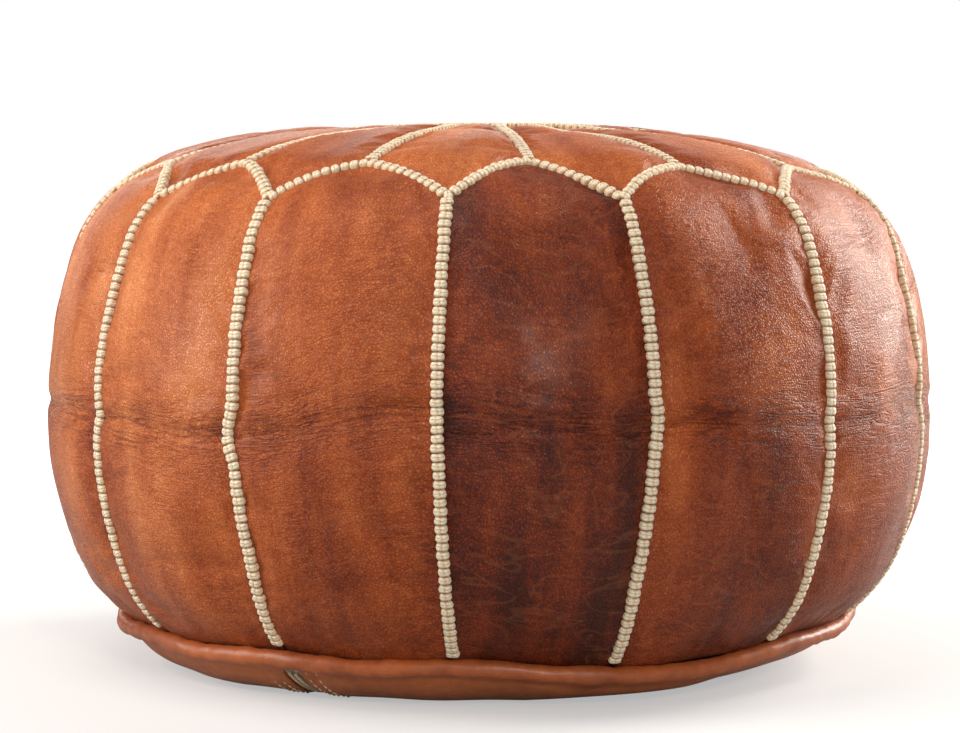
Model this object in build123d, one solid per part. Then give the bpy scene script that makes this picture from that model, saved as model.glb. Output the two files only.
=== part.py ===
from build123d import *
import math
import os

# A round stuffed leather pouf, in millimetres, standing on the plane Z = 0 and centred on the Z axis.
# The cover is a ring of upright side panels and a ring of top petals, whose pointed ends mesh in a zigzag.
# A thick braid of thread covers every one of those seams. A corded welt joins the panels to a leather base,
# which is cut in two along a zip. The middle of the first panel faces -Y.

# ---- driving dimensions -------------------------------------------------------------------------------
panel_count = 14
pitch = 360 / panel_count  # degrees from one side seam to the next

crown_height = 322
# The cover's outline runs from the crown to the foot as arcs, each (radius, degrees of turn).
cover_arcs = ((1180, 6), (345, 10), (125, 20), (66, 33.5), (300, 19), (220, 22), (100, 29))
foot_height = 31
waist_height = 160  # widest level of the cover

leather = 2.0  # thickness of the cover leather
seam_gap = 0.6  # between neighbouring panels, under the braid

valley_radius = 225  # where a side seam ends in the zigzag
peak_radius = 197  # where a top seam ends in the zigzag
patch_radius = 45  # centre patch

braid_width = 7.4
braid_height = 2.5  # how far a braid stands out of the leather

welt_ring_radius = 218
welt_height = 25.4
welt_radius = 5
welt_cord_radius = 3
welt_fit = 0.1

base_leather = 2.2
floor_radius = 165  # flat part of the base
bulge_arc = (72, 43.5)  # the base's round edge, (radius, degrees of turn)
base_top = 20

zip_heading = -38  # degrees about Z from -Y to the zip's near end
slit_half_width = 6.0  # from the zip's middle to the leather's edge
tape_thickness = 0.6
tape_half_width = 20
coil_gap = 1.2  # between the two coils, where the slider's post runs
coil_width = 2.6
coil_depth = 2.0
zip_end = 211  # how far from the axis the zip reaches
stitch_rows = (10.5, 17)  # distance of each thread row from the zip's middle
stitch_width = 0.9
stitch_height = 0.5

recess_depth = 8  # the base dips along the zip, so that the slider stays off the floor
recess_end_depth = 1.6
recess_flat_half_length = 138
recess_half_length = 164
recess_flat_half_width = 15
recess_half_width = 34

slider_rest = 120  # the slider's place when the zip is closed, towards +Y
slider_length = 12
slider_width = 9
slider_clearance = 0.4
slider_plate = 1.3
slider_post = (0.8, 4)
bail_width = 2.6
bail_length = 8
bail_thickness = 1.2
bail_inner_height = 2.0
pull_bar_radius = 0.7
pull_length = 25
pull_width = 7.6
pull_arm_width = 1.9
pull_tilt = 7  # degrees below level, where the tab just clears the floor
pull_hole_radius = 1.7

filling_clearance = 0.4
reach = 300  # further out than any part


# ---- the cover's body ---------------------------------------------------------------------------------
def arc_chain(start, arcs, depth, turning):
    """Tangent arcs from a start heading along +X, moved by depth to their inner side."""
    edges = []
    point, heading = Vector(start), 0
    for radius, turn in arcs:
        direction = Vector(1, 0).rotate(Axis.Z, heading)
        edges.append(JernArc(point, direction, radius - depth, turning * turn))
        point = edges[-1] @ 1
        heading += turning * turn
    return edges


def spun(edges):
    """The solid of revolution about Z of a closed outline drawn as (radius, height)."""
    return revolve(Plane.XZ * make_face(Curve() + edges), Axis.Z)


def slab(low, high):
    """All the space between two heights."""
    return Pos(0, 0, (low + high) / 2) * Box(2 * reach, 2 * reach, high - low)


def cover_body(depth):
    """Everything inside the cover's outline, above its foot, with the outer depth peeled off."""
    skin = arc_chain((0, crown_height - depth), cover_arcs, depth, -1)
    top, end = skin[0] @ 0, skin[-1] @ 1
    below = Vector(end.X, foot_height - 15)
    centre = Vector(0, below.Y)
    body = spun(skin + [Line(end, below), Line(below, centre), Line(centre, top)])
    return body - slab(0, foot_height)


def cover_layer(outer_depth, inner_depth):
    return cover_body(outer_depth) - cover_body(inner_depth)


# ---- cutting shapes, seen from above ------------------------------------------------------------------
def polar(radius, degrees):
    """A plan point at a radius, turned from -Y about Z."""
    angle = math.radians(degrees - 90)
    return Vector(radius * math.cos(angle), radius * math.sin(angle))


def pillar(outline, low=0):
    """The space above a plan outline, from a height up."""
    return Pos(0, 0, low) * extrude(make_face(outline), 2 * reach)


def wedge(degrees):
    """A wedge about Z with its middle on -Y."""
    return pillar(Polyline((0, 0), polar(2 * reach, -degrees / 2), polar(2 * reach, degrees / 2), close=True))


def fin(width, inner, outer):
    """A thin upright slab along -Y, from one radius to another."""
    return Pos(0, -(inner + outer) / 2, reach) * Box(width, outer - inner, 2 * reach)


def zigzag(grow):
    """Everything above the waist and inside the zigzag seam, grown outwards by an amount."""
    points = []
    for index in range(panel_count):
        points.append(polar(peak_radius + grow, index * pitch))
        points.append(polar(valley_radius + grow, (index + 0.5) * pitch))
    return pillar(Polyline(*points, close=True), waist_height)


def disc(radius):
    return Cylinder(radius, 4 * reach)


def ring_of(shape, start=0.0):
    """Copies of a shape round the Z axis, one for each panel."""
    return [Rot(0, 0, (start + index) * pitch) * shape for index in range(panel_count)]


# ---- side panels, top petals and centre patch ---------------------------------------------------------
hide = cover_layer(0, leather)
panel_degrees = pitch - math.degrees(seam_gap / 260)
petal_degrees = pitch - math.degrees(seam_gap / 130)

side_panels = ring_of((hide & wedge(panel_degrees)) - zigzag(seam_gap / 2))
petal_plan = Rot(0, 0, pitch / 2) * zigzag(-seam_gap / 2) - disc(patch_radius + seam_gap / 2)
top_petals = ring_of(hide & wedge(petal_degrees) & petal_plan, 0.5)
centre_patch = hide & disc(patch_radius - seam_gap / 2) & slab(waist_height, 2 * reach)

# ---- braids over the seams ----------------------------------------------------------------------------
half_braid = braid_width / 2
braid_gap = 0.1  # where one braid ends against another
braid_layer = cover_layer(-braid_height, 0)

zigzag_braid = braid_layer & (zigzag(half_braid) - zigzag(-half_braid))
side_braid = (braid_layer & fin(braid_width, 150, reach)) - Rot(0, 0, pitch / 2) * zigzag(half_braid + braid_gap)
side_braids = ring_of(side_braid, 0.5)
top_braid = braid_layer & fin(braid_width, patch_radius + half_braid + braid_gap, reach)
top_braids = ring_of(top_braid & zigzag(-half_braid - braid_gap))
patch_braid = braid_layer & (disc(patch_radius + half_braid) - disc(patch_radius - half_braid))

# ---- welt ---------------------------------------------------------------------------------------------
welt_hollow = Torus(welt_ring_radius, welt_cord_radius + welt_fit)
welt_cover = Pos(0, 0, welt_height) * (Torus(welt_ring_radius, welt_radius) - welt_hollow)
welt_cord = Pos(0, 0, welt_height) * Torus(welt_ring_radius, welt_cord_radius)


# ---- base, with the zip along Y -----------------------------------------------------------------------
def recess(depth):
    """The dip along the zip, grown by a depth."""
    top, end_top = recess_depth + depth, recess_end_depth + depth
    flat, foot = recess_flat_half_width + depth, recess_half_width + depth
    across = Polyline((-foot, -10), (-foot, 0), (-flat, top), (flat, top), (foot, 0), (foot, -10), close=True)
    flat_end, ramp_end = recess_flat_half_length + depth, recess_half_length + depth
    along = Polyline(
        *[(-reach, -10), (-reach, end_top), (-ramp_end, end_top), (-flat_end, top)],
        *[(flat_end, top), (ramp_end, end_top), (reach, end_top), (reach, -10)],
        close=True,
    )
    lengthways = extrude(Plane.XZ * make_face(across), reach, both=True)
    crossways = extrude(Plane.YZ * make_face(along), reach, both=True)
    return lengthways & crossways


def base_body(depth):
    """Everything above the base's outer surface, up to its top, with the outer depth peeled off."""
    bulge = arc_chain((floor_radius, depth), [bulge_arc], depth, 1)
    start, end = bulge[0] @ 0, bulge[-1] @ 1
    above = Vector(end.X, base_top + 10)
    top, bottom = Vector(0, above.Y), Vector(0, start.Y)
    body = spun([Line(bottom, start)] + bulge + [Line(end, above), Line(above, top), Line(top, bottom)])
    return body - slab(base_top, base_top + 20) - recess(depth)


def base_layer(outer_depth, inner_depth):
    return base_body(outer_depth) - base_body(inner_depth)


def strip(inner, outer, side, half_length=zip_end):
    """A slab beside the zip, from inner to outer distance on one side of it."""
    return Pos(side * (inner + outer) / 2, 0, 0) * Box(outer - inner, 2 * half_length, 100)


def on_base(shape):
    """A shape drawn with the zip along Y, turned to its place."""
    return Rot(0, 0, zip_heading) * shape


sides = {"left": -1, "right": 1}
tape_depth = base_leather + tape_thickness
base_hide = base_layer(0, base_leather)
tape_sheet = base_layer(base_leather, tape_depth)
coil_sheet = base_layer(base_leather - coil_depth, base_leather)
thread_sheet = base_layer(-stitch_height, 0)

half_gap = coil_gap / 2
base_halves = {n: base_hide & strip(slit_half_width, reach, s, reach) for n, s in sides.items()}
zip_tapes = {n: tape_sheet & strip(half_gap, tape_half_width, s) for n, s in sides.items()}
zip_coils = {n: coil_sheet & strip(half_gap, half_gap + coil_width, s) for n, s in sides.items()}
half_stitch = stitch_width / 2
zip_stitching = [
    thread_sheet & strip(row - half_stitch, row + half_stitch, s) for s in sides.values() for row in stitch_rows
]

# ---- zip slider and pull ------------------------------------------------------------------------------
coil_low = recess_depth + base_leather - coil_depth
inner_plate_low = recess_depth + tape_depth + slider_clearance
outer_plate_high = coil_low - slider_clearance
outer_plate_low = outer_plate_high - slider_plate
slider_high = inner_plate_low + slider_plate


def slider_block(width, length, low, high):
    """A block centred on the slider."""
    return Pos(0, slider_rest, (low + high) / 2) * Box(width, length, high - low)


def rounded(block, radius):
    return fillet(block.edges().filter_by(Axis.Z), radius)


inner_plate = rounded(slider_block(slider_width - 1, slider_length, inner_plate_low, slider_high), 2.5)
outer_plate = rounded(slider_block(slider_width, slider_length, outer_plate_low, outer_plate_high), 3)
post = slider_block(*slider_post, outer_plate_high, inner_plate_low)
eye_low = outer_plate_low - bail_inner_height
bail = slider_block(bail_width, bail_length, eye_low - bail_thickness, outer_plate_low)
bail = fillet(bail.edges().filter_by(Axis.X).group_by(Axis.Z)[0], 1.4)
bail = bail - slider_block(bail_width + 2, bail_length - 2 * bail_thickness, eye_low, outer_plate_low)
zip_slider = inner_plate + outer_plate + post + bail

pull_axis_height = outer_plate_low - bail_inner_height / 2
tab_start = bail_length / 2 + 1.4
blank = Pos(0, -pull_length / 2, 0) * Box(pull_width, pull_length, 2 * pull_bar_radius)
blank = fillet(blank.edges().filter_by(Axis.Z).group_by(Axis.Y)[0], 3.2)
blank = blank - Pos(0, -tab_start / 2, 0) * Box(pull_width - 2 * pull_arm_width, tab_start, 4)
blank = blank - Pos(0, -pull_length + 5.5, 0) * Cylinder(pull_hole_radius, 4)
pull_flat = blank + Rot(0, 90, 0) * Cylinder(pull_bar_radius, pull_width)
zip_pull = Pos(0, slider_rest, pull_axis_height) * Rot(pull_tilt, 0, 0) * pull_flat

# ---- filling ------------------------------------------------------------------------------------------
collar_radius = welt_ring_radius - welt_radius - filling_clearance
collar = disc(collar_radius) & slab(base_top, foot_height)
slider_run_low = recess_depth
slider_run_high = slider_high + 2 * slider_clearance
slider_run = Pos(0, 0, (slider_run_low + slider_run_high) / 2) * Box(
    slider_width + 4, 2 * slider_rest + slider_length + 6, slider_run_high - slider_run_low
)
filling_foot = base_body(tape_depth + filling_clearance) - slider_run
filling = cover_body(leather + filling_clearance) + collar + on_base(filling_foot)


# ---- write --------------------------------------------------------------------------------------------
def group(shapes):
    """Separate solids kept together as one node."""
    return Compound(children=[solid for shape in shapes for solid in shape.solids()])


parts = {}
for number, panel in enumerate(side_panels, start=1):
    parts[f"side_panel_{number:02d}"] = panel
for number, petal in enumerate(top_petals, start=1):
    parts[f"top_petal_{number:02d}"] = petal
parts["centre_patch"] = centre_patch
parts["side_seam_braids"] = group(side_braids)
parts["top_seam_braids"] = group(top_braids)
parts["zigzag_braid"] = zigzag_braid
parts["patch_braid"] = patch_braid
parts["welt_cover"] = welt_cover
parts["welt_cord"] = welt_cord
for side in sides:
    parts[f"base_half_{side}"] = on_base(base_halves[side])
    parts[f"zip_tape_{side}"] = on_base(zip_tapes[side])
    parts[f"zip_coil_{side}"] = on_base(zip_coils[side])
parts["zip_stitching"] = group([on_base(row) for row in zip_stitching])
parts["zip_slider"] = on_base(zip_slider)
parts["zip_pull"] = on_base(zip_pull)
parts["filling"] = filling

os.makedirs("parts", exist_ok=True)
for name, shape in parts.items():
    export_step(shape, f"parts/{name}.step")
print(len(parts), "nodes written")
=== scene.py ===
import math
import random

import bmesh
import bpy
import numpy as np
from mathutils import Matrix, Vector


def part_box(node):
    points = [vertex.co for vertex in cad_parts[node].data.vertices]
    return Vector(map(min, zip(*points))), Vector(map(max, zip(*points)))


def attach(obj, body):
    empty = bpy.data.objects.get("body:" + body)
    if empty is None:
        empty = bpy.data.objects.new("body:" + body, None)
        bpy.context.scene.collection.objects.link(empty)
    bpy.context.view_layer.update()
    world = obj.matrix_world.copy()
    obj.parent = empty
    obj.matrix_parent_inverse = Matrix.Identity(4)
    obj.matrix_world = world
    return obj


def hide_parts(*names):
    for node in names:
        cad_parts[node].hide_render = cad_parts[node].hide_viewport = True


# A round stuffed leather pouf: side panels, top petals and centre patch over a filling, thread braids on
# every seam, a corded welt, and a zipped base. Everything is in metres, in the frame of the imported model.

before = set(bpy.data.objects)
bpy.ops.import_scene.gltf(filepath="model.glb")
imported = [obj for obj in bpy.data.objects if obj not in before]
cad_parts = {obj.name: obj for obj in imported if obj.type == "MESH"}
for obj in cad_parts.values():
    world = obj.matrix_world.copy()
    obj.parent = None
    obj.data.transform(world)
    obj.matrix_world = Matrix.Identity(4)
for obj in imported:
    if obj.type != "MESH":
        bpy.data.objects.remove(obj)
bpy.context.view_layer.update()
random.seed(7)
scene = bpy.context.scene
mm = 0.001

# ---- camera -------------------------------------------------------------------------------------------
camera = bpy.data.objects.new("camera", bpy.data.cameras.new("camera"))
scene.collection.objects.link(camera)
camera.data.lens = 112.1
camera.data.sensor_width = 36
camera.data.shift_x = -0.0108
camera_heading = math.radians(-6.55)  # about Z from -Y
camera_distance = 1.820
camera_height = 0.295
camera_tilt = math.radians(3.75)  # how far it looks down
camera.location = (
    camera_distance * math.sin(camera_heading),
    -camera_distance * math.cos(camera_heading),
    camera_height,
)
camera.rotation_euler = (math.pi / 2 - camera_tilt, 0, camera_heading)
scene.camera = camera

# ---- measures -----------------------------------------------------------------------------------------
panel_count = 14
pitch = math.tau / panel_count
# The cover's outline runs from the crown to the foot as arcs, each (radius, degrees of turn).
cover_arcs = ((1.180, 6), (0.345, 10), (0.125, 20), (0.066, 33.5), (0.300, 19), (0.220, 22), (0.100, 29))
crown_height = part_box("centre_patch")[1][2]
valley_radius = 0.225  # where a side seam ends in the zigzag
peak_radius = 0.197  # where a top seam ends in the zigzag
patch_radius = 0.045
zigzag_bow = 2 * mm
fold_height = 0.160
leather = 2 * mm
sink = 1.6 * mm  # how far a panel's edge lies under its braid
foot_tuck = 8 * mm  # how far the panels run on into the welt

welt_low, welt_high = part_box("welt_cover")
welt_radius = (welt_high[2] - welt_low[2]) / 2
welt_height = (welt_high[2] + welt_low[2]) / 2
welt_ring_radius = welt_high[0] - welt_radius

zip_heading = math.radians(-38)
base_flat_radius = 0.165
base_bulge_radius = 0.072
base_rim_radius = 0.2152
slit = 6 * mm  # half of the opening between the base's two edges
zip_reach = 0.211  # from the middle to an end of the zip
recess = 8 * mm  # how far the zip's middle lies up from the floor
recess_sides = (0.015, 0.034)  # where that dip fades out beside the zip
recess_ends = (0.138, 0.164)  # where it fades out along the zip
stitch_rows = (10.5 * mm, 17 * mm)


# ---- the cover's surface ------------------------------------------------------------------------------
def traced_outline(step=0.25 * mm):
    """Length, radius, height and heading all along the cover's outline, from the crown to the foot."""
    rows = [(0.0, 0.0, crown_height, 0.0)]
    for radius, turn in cover_arcs:
        count = math.ceil(radius * math.radians(turn) / step)
        bend = math.radians(turn) / count
        for _ in range(count):
            length, out, up, heading = rows[-1]
            middle, run = heading + bend / 2, radius * bend
            out, up = out + run * math.cos(middle), up - run * math.sin(middle)
            rows.append((length + run, out, up, heading + bend))
    length, out, up, heading = rows[-1]
    out, up = out + foot_tuck * math.cos(heading), up - foot_tuck * math.sin(heading)
    return np.array(rows + [(length + foot_tuck, out, up, heading)]).T


line_length, line_radius, line_height, line_heading = traced_outline()
foot_length = line_length[-1] - foot_tuck
waist_index = int(np.argmax(line_radius))


def length_at(radius):
    """Length along the outline, from the crown, where its upper part has a plan radius."""
    return np.interp(radius, line_radius[:waist_index], line_length[:waist_index])


def waves(theta, length, seed, turns, along, count=7):
    """A smooth uneven value, about -1 to 1, that closes on itself round the pouf."""
    dice = random.Random(seed)
    total = 0.0
    for _ in range(count):
        round_, up, phase = dice.randint(*turns), dice.uniform(-along, along), dice.uniform(0, math.tau)
        total = total + np.sin(round_ * theta + up * length + phase)
    return total / math.sqrt(count) * 0.9


def bell(value, width):
    return np.exp(-((value / width) ** 2))


def eased(value, low, high):
    t = np.clip((value - low) / (high - low), 0, 1)
    return t * t * (3 - 2 * t)


def beside_heading(theta, heading, width):
    """1 at a heading, in degrees, and falling away over a width on both sides of it."""
    turn = (theta - math.radians(heading) + math.pi) % math.tau - math.pi
    return bell(turn, math.radians(width))


def fold_at(theta):
    """Height of the fold that runs round the cover at its waist."""
    dip = 8 * beside_heading(theta, -13, 11) - 6 * beside_heading(theta, -48, 24)
    return fold_height + mm * (dip + 2.5 * waves(theta, 0, 11, (2, 9), 0))


def pulled_aside(theta, height):
    """How far the side seams stray from an even division of the pouf, in metres to the right."""
    top, foot = eased(height, fold_height, 0.28), 1 - eased(height, 0.03, fold_height)
    left = (3 + 3 * top + 1 * foot) * beside_heading(theta, -12.9, 9)
    right = (3 + 5 * top + 3 * foot) * beside_heading(theta, 12.9, 9)
    return mm * (left - right)


def surface(theta, length, lift=0.0):
    """Points of the cover, and the way out from it, with the unevenness of a hand-sewn one."""
    theta, length = np.asarray(theta, float), np.asarray(length, float)
    radius = np.interp(length, line_length, line_radius)
    height = np.interp(length, line_length, line_height)
    heading = np.interp(length, line_length, line_heading)
    beside = bell(height - fold_at(theta), 11 * mm)
    upper = np.clip(radius / patch_radius - 1, 0, 1)
    low = np.clip((height - 0.02) / 0.06, 0, 1)
    sway = 5 * mm * waves(theta, length, 3, (4, 11), 16) * low
    sway = sway + 4 * mm * beside * waves(theta, 0, 5, (7, 18), 0)
    sway = sway + pulled_aside(theta, height)
    turned = theta + sway * upper / np.maximum(radius, 0.06)
    swell = 2.0 * mm * waves(theta, length, 8, (2, 6), 14) * upper
    swell = swell - (1.0 + 0.6 * waves(theta, 0, 6, (3, 12), 0)) * mm * beside
    swell = swell - 0.7 * mm * bell(height - fold_at(theta), 4 * mm)
    swell = swell + 1.2 * mm * waves(theta, length, 9, (8, 16), 30) * upper
    swell = swell + 4 * mm * beside_heading(theta, 78, 30) * bell(height - 0.272, 0.028)
    out = lift + swell * np.clip(low + 0.2, 0, 1)
    ring = radius + out * np.sin(heading) + foot_spread(theta) * (1 - low)
    level = height + out * np.cos(heading) + foot_wave(theta) * (1 - low)
    slump = eased(height, 0.18, 0.30) * eased(radius, 0.05, 0.19) * beside_heading(theta, 78, 40)
    level = level - 4 * mm * slump
    points = np.stack([ring * np.sin(turned), -ring * np.cos(turned), level], axis=-1)
    level_part = np.sin(heading)
    away = np.stack(
        [level_part * np.sin(turned), -level_part * np.cos(turned), np.cos(heading)], axis=-1
    )
    return points, away


def foot_wave(theta):
    """How far the welt and the panels' feet rise and fall round the pouf."""
    slouch = 7.0 * beside_heading(theta, 80, 36) - 5.0 * beside_heading(theta, 26, 23)
    return mm * (slouch + 1.3 * beside_heading(theta, -70, 16) + 1.4 * waves(theta, 0, 21, (5, 14), 0))


def foot_spread(theta):
    """How far the foot of the pouf is pressed out of round."""
    return 4.5 * mm * beside_heading(theta, -88, 42)


def zigzag_radius(part, theta):
    """Plan radius of the zigzag at a heading, a part of the way, 0 to 1, from a peak to a valley."""
    drift = 3.5 * mm * beside_heading(theta, 0, 55) - 8.5 * mm * beside_heading(theta, 0, 9)
    part = np.abs(part)
    angle = part * pitch / 2
    start = np.array([peak_radius, 0.0])
    end = valley_radius * np.array([math.cos(pitch / 2), math.sin(pitch / 2)])
    run = end - start
    reach = start[0] * run[1] / (run[1] * np.cos(angle) - run[0] * np.sin(angle))
    return reach - zigzag_bow * np.sin(np.pi * np.clip(part, 0, 1)) ** 0.8 + drift


# ---- mesh helpers -------------------------------------------------------------------------------------
def new_piece(name, mesh, material, body="root", smooth=True):
    """A finished piece on a body of the frame."""
    mesh.name = name
    piece = bpy.data.objects.new(name, mesh)
    scene.collection.objects.link(piece)
    mesh.materials.clear()
    mesh.materials.append(material)
    mesh.polygons.foreach_set("use_smooth", [smooth] * len(mesh.polygons))
    mesh.polygons.foreach_set("material_index", [0] * len(mesh.polygons))
    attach(piece, body)
    return piece


def mesh_from(bm, name):
    mesh = bpy.data.meshes.new(name)
    bm.to_mesh(mesh)
    bm.free()
    return mesh


def spin_round(bm, profile, steps):
    """Turns a profile once round the Z axis."""
    whole = {"cent": (0, 0, 0), "axis": (0, 0, 1), "angle": math.tau}
    bmesh.ops.spin(bm, geom=profile, steps=steps, use_merge=True, **whole)
    bmesh.ops.remove_doubles(bm, verts=bm.verts, dist=0.01 * mm)


def get_points(mesh):
    values = np.zeros(len(mesh.vertices) * 3)
    mesh.vertices.foreach_get("co", values)
    return values.reshape(-1, 3)


def set_points(mesh, points):
    mesh.vertices.foreach_set("co", np.asarray(points, float).ravel())
    mesh.update()


# ---- shader helpers -----------------------------------------------------------------------------------
class Socket:
    """A node's output that can be used in sums and products."""

    def __init__(self, build, output):
        self.build = build
        self.output = output

    def math(self, operation, *others, clamp=False):
        values = dict(enumerate((self, *others)))
        return self.build.node("ShaderNodeMath", {"operation": operation, "use_clamp": clamp}, values)

    def __add__(self, other):
        return self.math("ADD", other)

    __radd__ = __add__

    def __mul__(self, other):
        return self.math("MULTIPLY", other)

    __rmul__ = __mul__

    def __sub__(self, other):
        return self.math("SUBTRACT", other)

    def __rsub__(self, other):
        return self.build.node("ShaderNodeMath", {"operation": "SUBTRACT"}, {0: other, 1: self})

    def __pow__(self, other):
        return self.math("POWER", other)

    def clamped(self):
        return self.math("ADD", 0, clamp=True)

    def between(self, low, high):
        """0 below low and 1 above high, with a smooth rise."""
        ends = {0: self, 1: low, 2: high, 3: 0, 4: 1}
        return self.build.node("ShaderNodeMapRange", {"interpolation_type": "SMOOTHSTEP"}, ends)


class Build:
    """A material that is put together node by node."""

    def __init__(self, name):
        self.material = bpy.data.materials.new(name)
        self.material.use_nodes = True
        self.tree = self.material.node_tree
        self.tree.nodes.clear()

    def node(self, kind, settings=None, values=None, output=0):
        """Adds a node. Its values go to its inputs by name or number, as constants or as links."""
        made = self.tree.nodes.new(kind)
        for setting, value in (settings or {}).items():
            setattr(made, setting, value)
        for key, value in (values or {}).items():
            socket = made.inputs[key]
            if isinstance(value, Socket):
                self.tree.links.new(value.output, socket)
            else:
                socket.default_value = value
        return Socket(self, made.outputs[output])

    def object_place(self):
        return self.node("ShaderNodeTexCoord", output=3)

    def ramp(self, factor, *stops):
        made = self.tree.nodes.new("ShaderNodeValToRGB")
        ramp = made.color_ramp
        while len(ramp.elements) < len(stops):
            ramp.elements.new(0.5)
        for element, (position, colour) in zip(ramp.elements, stops):
            element.position = position
            element.color = (*colour, 1)
        self.tree.links.new(factor.output, made.inputs[0])
        return Socket(self, made.outputs[0])

    def mix(self, factor, first, second):
        values = {0: factor, 6: first, 7: second}
        return self.node("ShaderNodeMix", {"data_type": "RGBA"}, values, output=2)

    def noise(self, place, scale, detail=3, roughness=0.55, distortion=0):
        values = {"Vector": place, "Scale": scale, "Detail": detail, "Roughness": roughness}
        values["Distortion"] = distortion
        return self.node("ShaderNodeTexNoise", {}, values)

    def cells(self, place, scale, feature="F1", randomness=1.0):
        values = {"Vector": place, "Scale": scale, "Randomness": randomness}
        return self.node("ShaderNodeTexVoronoi", {"feature": feature}, values)

    def ridges(self, noise, sharpness):
        """Thin lines, 1 along their middle and 0 away from them, where a noise passes its mean."""
        return (1 - ((noise - 0.5) * sharpness).math("ABSOLUTE")).math("MAXIMUM", 0)

    def stretched(self, place, scale, turn=0.0):
        values = {"Vector": place, "Scale": scale, "Rotation": (0, 0, turn)}
        return self.node("ShaderNodeMapping", {}, values)

    def split(self, colour):
        made = self.tree.nodes.new("ShaderNodeSeparateColor")
        self.tree.links.new(colour.output, made.inputs[0])
        return [Socket(self, output) for output in made.outputs]

    def bump(self, height, distance, strength=1.0, normal=None):
        values = {"Height": height, "Distance": distance, "Strength": strength}
        if normal:
            values["Normal"] = normal
        return self.node("ShaderNodeBump", {}, values)

    def finish(self, values):
        """Closes the material with the main shader and returns it."""
        made = self.node("ShaderNodeBsdfPrincipled", {}, values)
        end = self.tree.nodes.new("ShaderNodeOutputMaterial")
        self.tree.links.new(made.output, end.inputs[0])
        return self.material


def srgb(red, green, blue):
    """A colour as it looks on a screen, 0 to 255, in the renderer's own numbers."""
    return tuple(((c / 255 + 0.055) / 1.055) ** 2.4 if c > 10 else c / 3294 for c in (red, green, blue))


# ---- materials ----------------------------------------------------------------------------------------
def hide_leather():
    """Waxed hand-dyed leather. The colour attribute holds how dark, how glossy and how wrinkled it is; its
    darkness is the dye's tone together with painted shade beside the seams, under the fold and in the
    creases.
    """
    b = Build("waxed_hide")
    place = b.node("ShaderNodeUVMap", {"uv_map": "hide"})
    dye = b.node("ShaderNodeAttribute", {"attribute_name": "dye"})
    # dark holds the dye's tone plus painted shade; wax holds gloss and wrinkled holds creasing.
    dark, wax, wrinkled = b.split(dye)
    streaks = b.noise(b.stretched(place, (75, 9, 1)), 1.0, 5, 0.6, 0.4)
    clouds = b.noise(place, 24, 4, 0.55, 0.6)
    mottle = b.noise(place, 210, 4, 0.65)
    pebbles = b.cells(b.stretched(place, (680, 570, 1), 0.3), 1.0, "DISTANCE_TO_EDGE")
    pebble = pebbles.between(0.0, 0.28)
    fine = b.noise(b.stretched(place, (1100, 520, 1), 0.4), 1.0, 2)
    lines = b.ridges(b.noise(b.stretched(place, (26, 250, 1), 0.04), 1.0, 3, 0.55, 0.7), 15)
    cracks = b.ridges(b.noise(b.stretched(place, (80, 190, 1), 0.75), 1.0, 3, 0.6, 0.8), 12)
    scuffs = b.ridges(b.noise(b.stretched(place, (20, 60, 1), -0.9), 1.0, 2, 0.5, 0.4), 40)
    tone = dark + (streaks - 0.5) * 0.36 + (clouds - 0.5) * 0.40 + (mottle - 0.5) * 0.34 + (fine - 0.5) * 0.24
    tone = tone - (pebble - 0.6) * 0.20
    # Painted shade: the crease lines and cracks are darkened where the leather is wrinkled.
    tone = (tone + lines * wrinkled * 0.16 + cracks * wrinkled * 0.06).clamped()
    colour = b.ramp(
        tone,
        (0.0, srgb(224, 146, 92)),
        (0.22, srgb(194, 108, 56)),
        (0.45, srgb(160, 75, 29)),
        (0.68, srgb(121, 46, 14)),
        (0.86, srgb(86, 27, 8)),
        (1.0, srgb(56, 17, 6)),
    )
    worn = (b.noise(place, 75, 5, 0.7) - 0.5).between(0.10, 0.28)
    colour = b.mix(worn * 0.20 + scuffs * clouds * 0.16, colour, (*srgb(214, 132, 78), 1))
    folds = b.noise(b.stretched(place, (120, 170, 1), 0.35), 1.0, 4, 0.6, 1.0)
    bump = b.bump(folds - lines * wrinkled * 2.2 - cracks * (wrinkled * 0.9 + 0.10), 1.0 * mm, 0.6)
    bump = b.bump(pebble * (0.35 + wax * 0.65) + mottle * 0.6 + fine * 0.2, 0.32 * mm, 0.85, bump)
    rough = 0.46 - wax * 0.25 + (mottle - 0.5) * 0.18 + (1 - pebble) * 0.10
    return b.finish(
        {
            "Base Color": colour,
            "Roughness": rough.clamped(),
            "Normal": bump,
            "Coat Weight": (wax * wax * 0.12).clamped(),
            "Coat Roughness": 0.27,
            "Specular IOR Level": 0.25,
            "Sheen Weight": 0.08,
            "Sheen Roughness": 0.25,
        }
    )


def plain_leather(name, light, dark, roughness):
    """Smoother leather on object coordinates, for the welt and the base."""
    b = Build(name)
    place = b.object_place()
    clouds = b.noise(place, 22, 4, 0.6, 0.6)
    mottle = b.noise(place, 190, 3, 0.6)
    pores = b.cells(place, 600, "DISTANCE_TO_EDGE")
    tone = ((clouds - 0.5) * 1.3 + (mottle - 0.5) * 0.6 + 0.5).clamped()
    colour = b.ramp(tone, (0.1, light), (0.9, dark))
    bump = b.bump(b.noise(place, 120, 5, 0.65, 0.8), 0.8 * mm, 0.4)
    bump = b.bump(mottle + pores.between(0, 0.2) * 0.3, 0.3 * mm, 0.4, bump)
    rough = roughness + (mottle - 0.5) * 0.2
    values = {"Base Color": colour, "Roughness": rough.clamped(), "Normal": bump}
    return b.finish(values | {"Coat Weight": (clouds * 0.2).clamped(), "Coat Roughness": 0.3})


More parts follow.
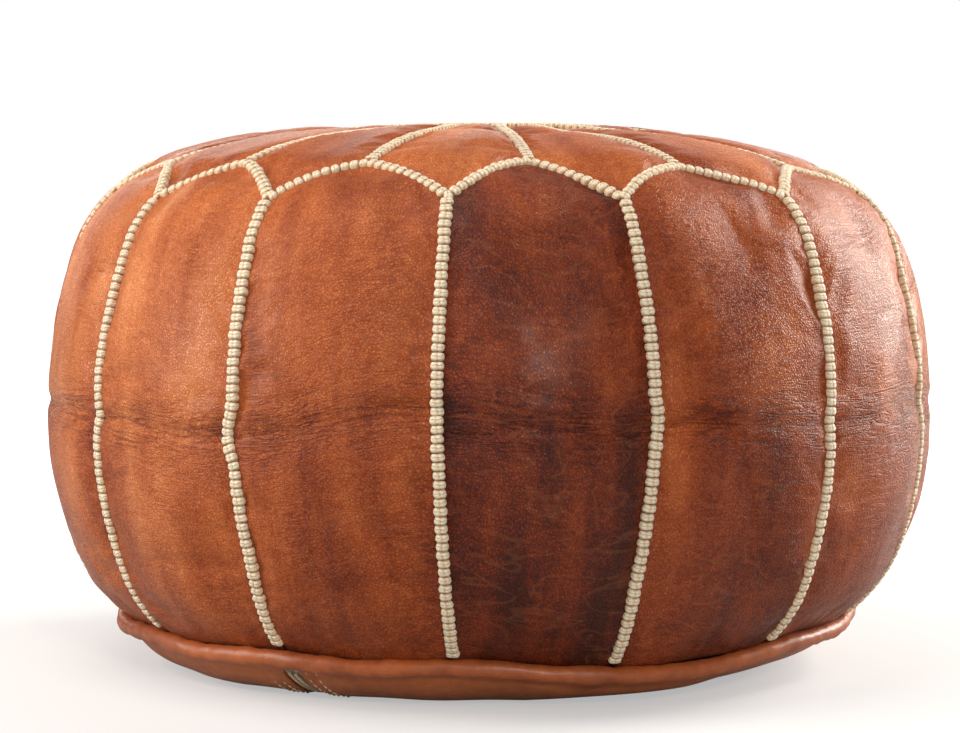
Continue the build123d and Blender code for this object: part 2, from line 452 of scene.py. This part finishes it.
def braid_thread():
    """Knots of cream thread, darker brown as painted shade in the grooves between strands and the gaps
    between knots. Each knot has its own square of the map, two strands wide and three high.
    """
    b = Build("cream_thread")
    place = b.node("ShaderNodeUVMap", {"uv_map": "knot"})
    made = b.tree.nodes.new("ShaderNodeSeparateXYZ")
    b.tree.links.new(place.output, made.inputs[0])
    across, along = (Socket(b, made.outputs[index]) for index in (0, 1))
    wander = b.noise(place, 3.5, 3)
    columns = ((across + (wander - 0.5) * 0.5) * math.tau).math("SINE").math("ABSOLUTE")
    rows = along + (across - 0.5).math("ABSOLUTE") * 0.3 + (wander - 0.5) * 0.5
    rows = (rows * math.tau).math("SINE").math("ABSOLUTE")
    # The gap dips each knot's ends in the bump and darkens them as painted shade between knots.
    gap = (along * (1 - along) * 4).math("MAXIMUM", 0) ** 0.6
    strands = (columns ** 0.7 * 0.65 + 0.35) * (rows ** 0.7 * 0.75 + 0.25) * gap
    fibre = b.noise(b.stretched(place, (6, 26, 1)), 2.0, 3)
    uneven = b.noise(b.stretched(place, (1, 0.35, 1)), 1.0, 2)
    # Painted shade: low strand relief takes the brown end of the ramp in grooves and gaps.
    tone = (strands * 0.95 + (fibre - 0.5) * 0.5 + (uneven - 0.5) * 0.3 - 0.02).clamped()
    colour = b.ramp(
        tone,
        (0.0, srgb(146, 98, 58)),
        (0.22, srgb(236, 198, 150)),
        (0.5, srgb(255, 238, 204)),
        (1.0, srgb(255, 252, 236)),
    )
    bump = b.bump(strands + fibre * 0.25, 1.1 * mm, 1.0)
    return b.finish({"Base Color": colour, "Roughness": 0.72, "Normal": bump, "Sheen Weight": 0.5})


def woven_tape():
    b = Build("woven_tape")
    place = b.stretched(b.object_place(), (1, 1, 1), -zip_heading)
    values = {"Vector": place, "Distortion": 0.4}
    ribs = b.node("ShaderNodeTexWave", {"bands_direction": "Y"}, values | {"Scale": 330})
    warp = b.node("ShaderNodeTexWave", {"bands_direction": "X"}, values | {"Scale": 200})
    weave = ribs.math("MULTIPLY", warp)
    soil = b.noise(place, 60, 4, 0.6)
    tone = (weave * 0.5 + soil * 0.6).clamped()
    colour = b.ramp(tone, (0.2, srgb(176, 156, 124)), (0.8, srgb(238, 224, 196)))
    return b.finish({"Base Color": colour, "Roughness": 0.85, "Normal": b.bump(weave, 0.3 * mm, 0.6)})


def plain_fibre(name, light, dark, scale=900.0, roughness=0.8):
    b = Build(name)
    place = b.object_place()
    twist = b.noise(place, scale, 3, 0.6)
    soil = b.noise(place, 40, 3)
    colour = b.ramp((twist * 0.6 + soil * 0.4).clamped(), (0.3, dark), (0.7, light))
    return b.finish({"Base Color": colour, "Roughness": roughness, "Normal": b.bump(twist, 0.2 * mm, 0.5)})


def worn_brass():
    b = Build("worn_brass")
    place = b.object_place()
    tarnish = b.noise(place, 300, 5, 0.65, 0.5)
    scratches = b.noise(b.stretched(place, (200, 2400, 400), 0.5), 1.0, 2)
    tone = tarnish.between(0.35, 0.7)
    colour = b.ramp(tone, (0.0, srgb(206, 172, 104)), (1.0, srgb(118, 92, 54)))
    rough = 0.28 + tone * 0.25 + (scratches - 0.5) * 0.2
    bump = b.bump(scratches + tarnish * 0.5, 0.08 * mm, 0.5)
    return b.finish({"Base Color": colour, "Metallic": 1.0, "Roughness": rough.clamped(), "Normal": bump})


hide = hide_leather()
welt_hide = plain_leather("welt_hide", srgb(192, 104, 54), srgb(122, 54, 24), 0.42)
base_hide = plain_leather("base_hide", srgb(206, 120, 68), srgb(142, 70, 34), 0.46)
thread = braid_thread()
tape_cloth = woven_tape()
stitch_thread = plain_fibre("waxed_thread", srgb(252, 236, 196), srgb(222, 192, 140))
coil_nylon = plain_fibre("coil_nylon", srgb(214, 198, 168), srgb(160, 142, 114), 500, 0.45)
brass = worn_brass()
cord_cotton = plain_fibre("cord_cotton", srgb(226, 216, 196), srgb(176, 164, 140))
liner_cloth = plain_fibre("liner_cloth", srgb(232, 228, 218), srgb(196, 190, 176), 1500)


# ---- cover panels -------------------------------------------------------------------------------------
class Panel:
    """One piece of the cover: its name, the frame's node that it stands for and how its grid is laid."""

    def __init__(self, name, middle, columns, rows, edge_low, edge_high, seed):
        self.name = name
        self.middle = middle  # heading of its middle
        self.columns = columns
        self.rows = rows
        self.edge_low = edge_low  # length along the outline at its lower edge, by place across
        self.edge_high = edge_high
        self.seed = seed


def grid_piece(bm, panel):
    """Lays a panel's grid on the surface. Returns where its points lie and which of them are sewn down."""
    made = bmesh.ops.create_grid(bm, x_segments=panel.columns, y_segments=panel.rows, size=1)
    verts = made["verts"]
    across = np.array([v.co.x for v in verts])
    up = np.array([(v.co.y + 1) / 2 for v in verts])
    theta = panel.middle + across * pitch / 2 * 0.998
    low, high = panel.edge_low(across, theta), panel.edge_high(across, theta)
    length = low + (high - low) * up
    braided = (np.abs(across) > 0.999) | (up > 0.999) | ((up < 0.001) & (length < foot_length))
    edge = braided | (length > foot_length - 2 * mm)
    points, _ = surface(theta, length, np.where(braided, -sink, 0.0))
    for v, p in zip(verts, points):
        v.co = p
    return (theta, length, across), edge


def side_low(across, theta):
    return np.full_like(across, line_length[-1])


def side_high(across, theta):
    return length_at(zigzag_radius(across, theta))


def petal_low(across, theta):
    return length_at(zigzag_radius(1 - np.abs(across), theta))


def petal_high(across, theta):
    return np.full_like(across, length_at(patch_radius))


panels = [
    Panel(f"side_panel_{n + 1:02d}", n * pitch, 34, 84, side_low, side_high, 100 + n)
    for n in range(panel_count)
]
panels += [
    Panel(f"top_petal_{n + 1:02d}", (n + 0.5) * pitch, 28, 46, petal_low, petal_high, 200 + n)
    for n in range(panel_count)
]


def stuffed(bm, pinned):
    """Lets the cover's leather, cut a little too large, swell and wrinkle between its sewn edges."""
    cloth_mesh = mesh_from(bm, "cover_cloth")
    start = get_points(cloth_mesh)
    cloth = bpy.data.objects.new("cover_cloth", cloth_mesh)
    scene.collection.objects.link(cloth)
    group = cloth.vertex_groups.new(name="sewn")
    group.add([int(index) for index in np.nonzero(pinned)[0]], 1.0, "REPLACE")
    modifier = cloth.modifiers.new("cloth", "CLOTH")
    settings = modifier.settings
    settings.quality = 4
    settings.mass = 0.25
    settings.tension_stiffness = 22
    settings.compression_stiffness = 22
    settings.shear_stiffness = 12
    settings.bending_stiffness = 0.6
    settings.tension_damping = settings.compression_damping = settings.shear_damping = 8
    settings.air_damping = 3
    settings.vertex_group_mass = "sewn"
    settings.pin_stiffness = 1
    settings.shrink_min = -0.022
    settings.use_pressure = True
    settings.uniform_pressure_force = 3.0
    settings.effector_weights.gravity = 0
    modifier.collision_settings.use_collision = False
    modifier.point_cache.frame_start = 1
    modifier.point_cache.frame_end = 20
    for step in range(1, 21):
        scene.frame_set(step)
    graph = bpy.context.evaluated_depsgraph_get()
    shown = cloth.evaluated_get(graph).to_mesh()
    moved = get_points(shown) - start
    cloth.evaluated_get(graph).to_mesh_clear()
    bpy.data.objects.remove(cloth)
    far = np.linalg.norm(moved, axis=1, keepdims=True)
    cap = mm * (6 - 3 * eased(start[:, 2:], 0.25, 0.30))
    moved = moved * np.minimum(1, cap / np.maximum(far, 1e-9))
    scene.frame_set(1)
    bpy.data.meshes.remove(cloth_mesh)
    return start + moved


def cover_points():
    """Each panel's grid after stuffing, with its place on the surface."""
    bm = bmesh.new()
    laid = [grid_piece(bm, panel) for panel in panels]
    counts = [len(edge) for _, edge in laid]
    points = stuffed(bm, np.concatenate([edge for _, edge in laid]))
    ends = np.cumsum([0] + counts)
    return [(points[a:b], place) for a, b, (place, _) in zip(ends, ends[1:], laid)]


def creases(panel, x, y):
    """Grooves and soft folds of one panel, over places in metres across and up from the fold."""
    dice = random.Random(panel.seed)
    depth = np.zeros_like(x)
    side = panel.name.startswith("side")
    lines = 10 if side else 5
    for number in range(lines):
        near = number < lines * 0.6 and side
        cx = dice.uniform(-0.05, 0.05)
        cy = dice.gauss(0, 0.009) if near else dice.uniform(-0.12, 0.11)
        turn = dice.gauss(0, 0.16) if near else dice.uniform(-1.2, 1.2)
        half = dice.uniform(0.010, 0.030)
        width = dice.uniform(2.0, 3.2) * mm if near else dice.uniform(3.0, 6.5) * mm
        deep = dice.uniform(0.25, 0.7) * mm
        along = (x - cx) * math.cos(turn) + (y - cy) * math.sin(turn)
        off = -(x - cx) * math.sin(turn) + (y - cy) * math.cos(turn)
        off = off + 0.0016 * np.sin(along * 160 + number)
        depth -= deep * bell(off, width) * bell(along, half)
    return depth


def cover_piece(panel, points, laid):
    """Makes a panel's finished leather from its stuffed grid."""
    theta, length, across = laid
    bm = bmesh.new()
    made = bmesh.ops.create_grid(bm, x_segments=panel.columns, y_segments=panel.rows, size=1)
    for v, p in zip(made["verts"], points):
        v.co = p
    uv = bm.loops.layers.uv.new("hide")
    radius = np.interp(length, line_length, line_radius)
    x = across * pitch / 2 * radius
    y = np.interp(-fold_at(theta), -line_height, line_length) - length
    for face in bm.faces:
        for loop in face.loops:
            index = loop.vert.index
            loop[uv].uv = (x[index], y[index])
    rough = mesh_from(bm, "rough")
    smoothing = bpy.data.objects.new("smoothing", rough)
    scene.collection.objects.link(smoothing)
    subdivision = smoothing.modifiers.new("subdivision", "SUBSURF")
    subdivision.levels = subdivision.render_levels = 1
    subdivision.boundary_smooth = "PRESERVE_CORNERS"
    graph = bpy.context.evaluated_depsgraph_get()
    mesh = bpy.data.meshes.new_from_object(smoothing.evaluated_get(graph))
    bpy.data.objects.remove(smoothing)
    bpy.data.meshes.remove(rough)

    count = len(mesh.vertices)
    corner = np.zeros(len(mesh.loops), np.int32)
    mesh.loops.foreach_get("vertex_index", corner)
    flat = np.zeros(len(mesh.loops) * 2)
    mesh.uv_layers["hide"].data.foreach_get("uv", flat)
    place = np.zeros((count, 2))
    place[corner] = flat.reshape(-1, 2)
    x, y = place.T
    normals = np.zeros(count * 3)
    mesh.vertices.foreach_get("normal", normals)
    normals = normals.reshape(-1, 3)
    points = get_points(mesh)

    half_width = pitch / 2 * np.hypot(points[:, 0], points[:, 1])
    inside = np.clip((half_width - np.abs(x)) / (9 * mm), 0, 1)
    grooves = creases(panel, x, y)
    dice = random.Random(panel.seed + 50)
    puckers = 0.35 * mm * np.sin(y * dice.uniform(420, 560) + 3 * np.sin(y * 60))
    puckers = puckers * bell(half_width - np.abs(x) - 5 * mm, 6 * mm)
    soft = 0.5 * mm * waves(x * 12, y, panel.seed, (3, 9), 70)
    points = points + normals * ((grooves + soft) * inside + puckers)[:, None]
    set_points(mesh, points)

    paint(mesh, panel, x, y, grooves, half_width)
    offset = (dice.uniform(0, 3), dice.uniform(0, 3))
    mesh.uv_layers["hide"].data.foreach_set("uv", (flat.reshape(-1, 2) + offset).ravel())
    piece = new_piece(panel.name + "_leather", mesh, hide)
    wall = piece.modifiers.new("thickness", "SOLIDIFY")
    wall.thickness = leather
    wall.offset = -1
    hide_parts(panel.name)


# How dark each side panel was dyed, from the first, which faces the front, to the right round the pouf.
panel_tones = (0.66, 0.48, 0.40, 0.34, 0.40, 0.46, 0.38, 0.44, 0.40, 0.36, 0.28, 0.22, 0.25, 0.38)
petal_tones = (0.34, 0.38, 0.40, 0.40, 0.32, 0.38, 0.34, 0.36, 0.32, 0.28, 0.30, 0.32, 0.36, 0.28)


def paint(mesh, panel, x, y, grooves, half_width):
    """Writes the colour attribute: how dark, how waxed and how creased each point is. The darkness is dye
    plus painted shade beside the seams, below the fold and in the creases.
    """
    number = int(panel.name[-2:]) - 1
    side = panel.name.startswith("side")
    dark = np.full(len(x), (panel_tones if side else petal_tones)[number])
    seed = panel.seed
    dark += 0.08 * waves(x * 20, y, seed + 1, (2, 6), 40) + 0.04 * waves(x * 45, y, seed + 2, (2, 6), 90)
    # Painted shade: darker within 8 mm of the panel's sides, beside the braids.
    dark += 0.07 * bell(half_width - np.abs(x), 8 * mm)
    wax = 0.42 + 0.38 * waves(x * 16, y, seed + 3, (2, 5), 30)
    # How creased each point is: it deepens the crease bumps and, as painted shade, darkens the crease lines.
    wrinkled = 0.05 + 0.14 * np.maximum(0, waves(x * 30, y, seed + 4, (2, 6), 60))
    if side:
        # Painted shade: the side panel darker below the fold, towards the foot.
        dark += 0.16 * eased(-y, -0.02, 0.11)
        lean = random.Random(seed + 7)
        wax += lean.uniform(0.3, 0.7) * bell(y - 0.035, 0.04) * bell(x + lean.uniform(-0.02, 0.02), 0.04)
        # Painted shade in the step just under the fold.
        dark += 0.07 * bell(y + 0.016, 0.018)
        across_fold = np.clip(0.75 + 0.5 * waves(x * 30, 0 * y, seed + 5, (2, 7), 0), 0.2, 1)
        wrinkled += across_fold * bell(y + 2 * mm * waves(x * 25, 0 * y, seed + 6, (1, 5), 0), 12 * mm)
    wrinkled += 0.5 * np.clip(-grooves / (0.8 * mm), 0, 1)
    layer = mesh.color_attributes.new("dye", "FLOAT_COLOR", "POINT")
    colours = np.stack([dark, wax, wrinkled, np.ones(len(x))], axis=1)
    colours[:, :3] = np.clip(colours[:, :3], 0, 1)
    layer.data.foreach_set("color", colours.ravel())


for panel, (points, laid) in zip(panels, cover_points()):
    cover_piece(panel, points, laid)


# ---- centre patch -------------------------------------------------------------------------------------
def centre_patch():
    """A round of leather in the middle of the top, slightly crowned."""
    bm = bmesh.new()
    rings, segments = 16, 96
    bmesh.ops.create_circle(bm, cap_ends=True, cap_tris=True, segments=segments, radius=patch_radius)
    bm.faces.ensure_lookup_table()
    spokes = [e for e in bm.edges if any(v.co.length < 1e-6 for v in e.verts)]
    bmesh.ops.subdivide_edges(bm, edges=spokes, cuts=rings, use_grid_fill=True)
    uv = bm.loops.layers.uv.new("hide")
    for face in bm.faces:
        for loop in face.loops:
            loop[uv].uv = (loop.vert.co.x + 5, loop.vert.co.y + 5)
    plan = np.array([v.co[:2] for v in bm.verts])
    radius = np.hypot(*plan.T)
    theta = np.arctan2(plan[:, 0], -plan[:, 1])
    drop = -sink * np.clip((radius - 0.9 * patch_radius) / (0.1 * patch_radius), 0, 1)
    points, _ = surface(theta, length_at(radius), drop + 1.0 * mm * (1 - (radius / patch_radius) ** 2))
    for v, p in zip(bm.verts, points):
        v.co = p
    bmesh.ops.recalc_face_normals(bm, faces=bm.faces)
    mesh = mesh_from(bm, "patch")
    layer = mesh.color_attributes.new("dye", "FLOAT_COLOR", "POINT")
    colours = np.tile([0.45, 0.5, 0.0, 1.0], (len(radius), 1))
    # Painted shade: darker near the rim, beside the ring braid.
    colours[:, 0] += 0.15 * bell(radius - patch_radius, 8 * mm)
    layer.data.foreach_set("color", colours.ravel())
    piece = new_piece("centre_patch_leather", mesh, hide)
    wall = piece.modifiers.new("thickness", "SOLIDIFY")
    wall.thickness = leather
    wall.offset = -1
    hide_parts("centre_patch")


centre_patch()


# ---- braids -------------------------------------------------------------------------------------------
def knot(roundness, crown):
    """One knot of thread, 1 wide, 1 long and 1 high, with a square of the map of its own."""
    bm = bmesh.new()
    bmesh.ops.create_cube(bm, size=1)
    bmesh.ops.subdivide_edges(bm, edges=bm.edges, cuts=2, use_grid_fill=True)
    for v in bm.verts:
        ball = v.co.normalized() * 0.5
        v.co = v.co * 0.98 * (1 - roundness) + ball * roundness * 1.15
        v.co.x *= 1 - crown * (2 * v.co.y) ** 2
    uv = bm.loops.layers.uv.new("knot")
    for face in bm.faces:
        for loop in face.loops:
            loop[uv].uv = (loop.vert.co.x + 0.5, loop.vert.co.y + 0.5)
    return mesh_from(bm, "knot")


def walked(theta, length, lift, step):
    """Places a step apart along a line on the cover: point, way along it and way out of it."""
    points, away = surface(theta, length, lift)
    gaps = np.linalg.norm(np.diff(points, axis=0), axis=1)
    run = np.concatenate([[0], np.cumsum(gaps)])
    count = max(2, round(run[-1] / step))
    at = (np.arange(count) + 0.5) * run[-1] / count
    place = np.stack([np.interp(at, run, points[:, k]) for k in range(3)], axis=1)
    out = np.stack([np.interp(at, run, away[:, k]) for k in range(3)], axis=1)
    before = np.stack([np.interp(at - step / 2, run, points[:, k]) for k in range(3)], axis=1)
    after = np.stack([np.interp(at + step / 2, run, points[:, k]) for k in range(3)], axis=1)
    return zip(place, after - before, out), run[-1] / count


def braid(name, node, lines, shape, size):
    """A braid of knots along one or more lines on the cover."""
    width, spacing, height = size
    bm = bmesh.new()
    dice = random.Random(name)
    for theta, length in lines:
        places, gap = walked(theta, length, -thread_depth, spacing)
        for place, along, out in places:
            along, out = Vector(along).normalized(), Vector(out)
            aside = along.cross(out).normalized()
            out = aside.cross(along)
            first = len(bm.verts)
            bm.from_mesh(shape)
            bm.verts.ensure_lookup_table()
            grow = dice.uniform(0.93, 1.07)
            centre = Vector(place) + aside * dice.gauss(0, 0.14 * mm) + out * dice.gauss(0, 0.08 * mm)
            axes = (aside * width * grow, along * gap * dice.uniform(0.96, 1.06), out * height)
            axes = Matrix(axes).transposed()
            tilt = Matrix.Rotation(dice.gauss(0, 0.07), 3, "Z") @ Matrix.Rotation(dice.gauss(0, 0.05), 3, "Y")
            matrix = Matrix.Translation(centre) @ (axes @ tilt).to_4x4()
            bmesh.ops.transform(bm, matrix=matrix, verts=bm.verts[first:])
    piece = new_piece(name, mesh_from(bm, name), thread)
    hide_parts(node)


def side_seam(theta):
    start = length_at(zigzag_radius(1, theta)) + 2 * mm
    return np.full(400, theta), np.linspace(start, foot_length, 400)


def top_seam(theta):
    end = length_at(zigzag_radius(0, theta)) - 3 * mm
    return np.full(400, theta), np.linspace(rim_length + 4 * mm, end, 400)


barrel = knot(0.5, 0.15)
ball = knot(0.85, 0.0)
rim_length = float(length_at(patch_radius))
thread_depth = 0.1 * mm  # how far the knots' middles lie under the leather's surface
# Each knot's size is its width, the space it takes along the seam, and its height.
side_lines = [side_seam((n + 0.5) * pitch) for n in range(panel_count)]
top_lines = [top_seam(n * pitch) for n in range(panel_count)]
ring = np.linspace(0, math.tau, panel_count * 240 + 1)
way = np.abs((ring / pitch + 0.5) % 1 - 0.5) * 2
zigzag_line = (ring, length_at(zigzag_radius(way, ring)))
rim_line = (ring, np.full_like(ring, rim_length))
braid("side_seam_braid", "side_seam_braids", side_lines, barrel, (7.2 * mm, 4.8 * mm, 5.0 * mm))
braid("top_seam_braid", "top_seam_braids", top_lines, barrel, (6.8 * mm, 4.6 * mm, 4.4 * mm))
braid("zigzag_seam_braid", "zigzag_braid", [zigzag_line], ball, (6.6 * mm, 5.3 * mm, 5.0 * mm))
braid("patch_ring_braid", "patch_braid", [rim_line], barrel, (7.0 * mm, 5.0 * mm, 4.6 * mm))


# ---- welt ---------------------------------------------------------------------------------------------
def ring_tube(name, radius, segments, steps, bulges):
    """A tube round the foot of the cover, with the same rise and fall as the panels' feet."""
    bm = bmesh.new()
    turn = Matrix.Translation((welt_ring_radius, 0, welt_height)) @ Matrix.Rotation(math.pi / 2, 4, "X")
    made = bmesh.ops.create_circle(bm, segments=segments, radius=radius, matrix=turn)
    edges = list({edge for v in made["verts"] for edge in v.link_edges})
    spin_round(bm, made["verts"] + edges, steps)
    bmesh.ops.recalc_face_normals(bm, faces=bm.faces)
    points = np.array([v.co for v in bm.verts])
    theta = np.arctan2(points[:, 0], -points[:, 1])
    around = np.hypot(points[:, 0], points[:, 1])
    over = np.arctan2(points[:, 2] - welt_height, around - welt_ring_radius)
    twist = np.sin(over * 2 + 5 * waves(theta, 0, 33, (9, 30), 0))
    fat = 1 + bulges * (0.06 * waves(theta, 0, 31, (20, 60), 0) + 0.05 * twist)
    tuck = bulges * 0.12 * np.maximum(0, waves(theta, over, 35, (40, 120), 2, 5) - 0.8)
    local = fat - tuck
    points[:, 2] = welt_height + (points[:, 2] - welt_height) * local + foot_wave(theta)
    wide = welt_ring_radius + (around - welt_ring_radius) * local + foot_spread(theta)
    wide = wide + 0.8 * mm * bulges * waves(theta, 0, 36, (3, 12), 0)
    points[:, 0] *= wide / around
    points[:, 1] *= wide / around
    for v, p in zip(bm.verts, points):
        v.co = p
    return mesh_from(bm, name)


welt = new_piece("welt_leather", ring_tube("welt", welt_radius, 20, 480, 1.0), welt_hide)
wall = welt.modifiers.new("thickness", "SOLIDIFY")
wall.thickness = 1.6 * mm
wall.offset = -1
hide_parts("welt_cover")
core = new_piece("welt_core", ring_tube("core", 2.8 * mm, 12, 240, 0.0), cord_cotton)
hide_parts("welt_cord")


# ---- base ---------------------------------------------------------------------------------------------
def base_height(x, y):
    """Height of the base's outer face, at a place beside and along the zip."""
    radius = np.hypot(x, y)
    out = np.clip(radius - base_flat_radius, 0, 0.0515)
    bulge = base_bulge_radius - np.sqrt(base_bulge_radius**2 - out**2)
    across = recess * (1 - eased(np.abs(x), *recess_sides))
    along = recess - 6.4 * mm * eased(np.abs(y), *recess_ends)
    return np.maximum(bulge, np.minimum(across, along))


def base_face(x, y, side):
    """Height of the base's outer face with its soft dents, on one side of the zip."""
    radius, theta = np.hypot(x, y), np.arctan2(x, -y)
    calm = eased(radius, 0.05, 0.165)
    dents = 0.7 * mm * np.maximum(0, waves(theta, radius, 41 + side, (6, 22), 60)) * calm
    turned_in = 0.5 * mm * (1 - eased(x - slit, 0.0, 6 * mm))
    rim = eased(radius, 0.204, base_rim_radius) * 1.6 * mm
    theta = zip_heading + side * theta
    lift = eased(radius, 0.178, base_rim_radius) * foot_wave(theta)
    lift = lift + 5 * mm * beside_heading(theta, 60, 42) * bell(radius - 0.184, 0.022)
    settled = 0.55 * beside_heading(theta, -74, 36) * (1 - eased(radius, 0.19, base_rim_radius))
    return base_height(x, y) * (1 - settled) + dents + turned_in + rim + lift


to_zip = Matrix.Rotation(zip_heading, 4, "Z")


def base_half(side, name):
    """Half of the base, folded under along the zip."""
    bm = bmesh.new()
    made = bmesh.ops.create_grid(bm, x_segments=70, y_segments=150, size=1)
    verts = made["verts"]
    part = np.array([(v.co.x + 1) / 2 for v in verts])
    y = base_rim_radius * np.sin(np.array([v.co.y for v in verts]) * math.pi / 2 * 0.985)
    edge = np.sqrt(base_rim_radius**2 - y**2)
    opening = slit * (1 - 0.9 * eased(np.abs(y), 0.2095, 0.2130))
    x = opening + part * np.maximum(edge - opening, 0.5 * mm)
    z = base_face(x, y, side)
    radius = np.hypot(x, y)
    spread = foot_spread(zip_heading + side * np.arctan2(x, -y)) * eased(radius, 0.178, base_rim_radius)
    x, y = x * (1 + spread / radius), y * (1 + spread / radius)
    for v, px, py, pz in zip(verts, x, y, z):
        v.co = to_zip @ Vector((side * px, py, pz))
    bmesh.ops.recalc_face_normals(bm, faces=bm.faces)
    if sum(face.normal.z for face in bm.faces) > 0:
        bmesh.ops.reverse_faces(bm, faces=bm.faces)
    piece = new_piece(f"base_leather_{name}", mesh_from(bm, name), base_hide)
    wall = piece.modifiers.new("thickness", "SOLIDIFY")
    wall.thickness = 2.2 * mm
    wall.offset = -1
    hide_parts(f"base_half_{name}")


base_half(-1, "left")
base_half(1, "right")


def stitches():
    """Four rows of thread stitches, two on each side of the zip."""
    bm = bmesh.new()
    dice = random.Random(5)
    for side in (-1, 1):
        for row in stitch_rows:
            for y in np.arange(-zip_reach, zip_reach, 4.4 * mm):
                x = row + dice.gauss(0, 0.12 * mm)
                behind, here, ahead = (float(base_face(x, y + step * mm, side)) for step in (-1, 0, 1))
                slope = math.atan2(ahead - behind, 2 * mm)
                tilt = Matrix.Rotation(slope, 4, "X") @ Matrix.Translation((0, 0, -0.25 * mm))
                size = Matrix.Diagonal((0.55 * mm, 2.0 * mm, 0.5 * mm, 1))
                place = to_zip @ Matrix.Translation((side * x, y, here)) @ tilt @ size
                bmesh.ops.create_uvsphere(bm, u_segments=8, v_segments=5, radius=1, matrix=place)
    piece = new_piece("zip_stitches", mesh_from(bm, "stitches"), stitch_thread)
    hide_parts("zip_stitching")


def coil(side, name):
    """The loops of one zip coil, sewn along the edge of its tape."""
    bm = bmesh.new()
    tooth = bmesh.new()
    bmesh.ops.create_cube(tooth, size=1)
    rounding = {"offset": 0.28, "segments": 2, "profile": 0.5, "affect": "EDGES", "material": -1}
    bmesh.ops.bevel(tooth, geom=tooth.edges[:], **rounding)
    shape = mesh_from(tooth, "tooth")
    spacing = 1.6 * mm
    for index, y in enumerate(np.arange(-zip_reach + 1 * mm, zip_reach - 1 * mm, spacing)):
        start = y + (spacing / 2 if side > 0 else 0)
        z = float(base_height(0, start)) + 1.2 * mm
        first = len(bm.verts)
        bm.from_mesh(shape)
        bm.verts.ensure_lookup_table()
        size = Matrix.Diagonal((2.5 * mm, 1.05 * mm, 1.9 * mm, 1))
        place = to_zip @ Matrix.Translation((side * 1.9 * mm, start, z)) @ size
        bmesh.ops.transform(bm, matrix=place, verts=bm.verts[first:])
    piece = new_piece(f"zip_teeth_{name}", mesh_from(bm, name), coil_nylon)
    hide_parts(f"zip_coil_{name}")


stitches()
coil(-1, "left")
coil(1, "right")
for node in ("zip_tape_left", "zip_tape_right"):
    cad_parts[node].data.materials.clear()
    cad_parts[node].data.materials.append(tape_cloth)
for node in ("zip_slider", "zip_pull"):
    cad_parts[node].data.materials.clear()
    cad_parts[node].data.materials.append(brass)


# ---- filling ------------------------------------------------------------------------------------------
def filling():
    """The stuffed liner inside the cover. Its sides and top follow the cover at an even depth."""
    bm = bmesh.new()
    depth = 10 * mm
    length = np.linspace(0.004, foot_length - 4 * mm, 44)
    points, _ = surface(0 * length, length, -depth)
    rows = [(0.0, points[0][2])] + [(math.hypot(p[0], p[1]), p[2]) for p in points]
    rows += [(0.203, 0.030), (0.190, 0.019), (0.150, 0.0145), (0.0, 0.0145)]
    verts = [bm.verts.new((0, -r, z)) for r, z in rows]
    edges = [bm.edges.new(pair) for pair in zip(verts, verts[1:])]
    spin_round(bm, verts + edges, 96)
    bmesh.ops.recalc_face_normals(bm, faces=bm.faces)
    profile = np.array(rows)
    for v in bm.verts:
        away = np.hypot(profile[:, 0] - math.hypot(v.co.x, v.co.y), profile[:, 1] - v.co.z)
        row = int(np.argmin(away)) - 1
        if 0 <= row < len(length):
            v.co = surface(math.atan2(v.co.x, -v.co.y), length[row], -depth)[0]
    piece = new_piece("stuffed_liner", mesh_from(bm, "liner"), liner_cloth)
    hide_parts("filling")


filling()


# ---- floor and light ----------------------------------------------------------------------------------
def floor():
    bm = bmesh.new()
    bmesh.ops.create_grid(bm, x_segments=1, y_segments=1, size=20)
    mesh = mesh_from(bm, "floor")
    b = Build("pale_floor")
    place = b.object_place()
    far = b.node("ShaderNodeVectorMath", {"operation": "LENGTH"}, {0: place}, output=1)
    seen = b.node("ShaderNodeLightPath")
    glow = b.ramp(far.between(0.3, 1.1), (0.0, (0.44, 0.44, 0.44)), (1.0, (1.2, 1.2, 1.2)))
    values = {"Base Color": (0.46, 0.46, 0.46, 1), "Roughness": 0.9, "Specular IOR Level": 0.1}
    glow = b.mix(seen, (0, 0, 0, 1), glow)
    mesh.materials.append(b.finish(values | {"Emission Color": glow, "Emission Strength": 1.0}))
    plane = bpy.data.objects.new("floor", mesh)
    plane.location.z = -0.0002
    scene.collection.objects.link(plane)


def softbox(name, place, aim, size, power):
    light = bpy.data.lights.new(name, "AREA")
    light.shape = "RECTANGLE"
    light.size, light.size_y = size
    light.energy = power
    light.color = (1, 0.94, 0.86)
    lamp = bpy.data.objects.new(name, light)
    lamp.visible_camera = False
    lamp.location = place
    lamp.rotation_euler = (Vector(aim) - Vector(place)).to_track_quat("-Z", "Y").to_euler()
    scene.collection.objects.link(lamp)


floor()
softbox("left_box", (-1.65, -0.1, 0.75), (0, 0, 0.14), (0.9, 1.1), 24)
softbox("right_box", (1.5, 0.6, 0.8), (0, 0, 0.16), (0.9, 1.1), 50)
softbox("front_box", (-0.7, -2.1, 1.35), (0, 0, 0.16), (0.5, 0.4), 4)
softbox("low_front_box", (0.24, -2.3, 0.78), (0, 0, 0.2), (0.3, 0.25), 16)
softbox("back_box", (0, 2.4, 0.75), (0, 0, 0.25), (2.6, 0.9), 16)
softbox("top_box", (-0.55, -0.4, 1.8), (0, 0, 0.2), (1.2, 1.0), 17)
world = bpy.data.worlds.new("studio")
world.use_nodes = True
sky = world.node_tree.nodes["Background"]
sky.inputs[0].default_value = (1, 1, 1, 1)
seen = world.node_tree.nodes.new("ShaderNodeLightPath")
strength = world.node_tree.nodes.new("ShaderNodeMapRange")
strength.inputs["To Min"].default_value = 0.14
strength.inputs["To Max"].default_value = 1.0
world.node_tree.links.new(seen.outputs["Is Camera Ray"], strength.inputs["Value"])
world.node_tree.links.new(strength.outputs[0], sky.inputs[1])
scene.world = world
scene.view_settings.view_transform = "Standard"
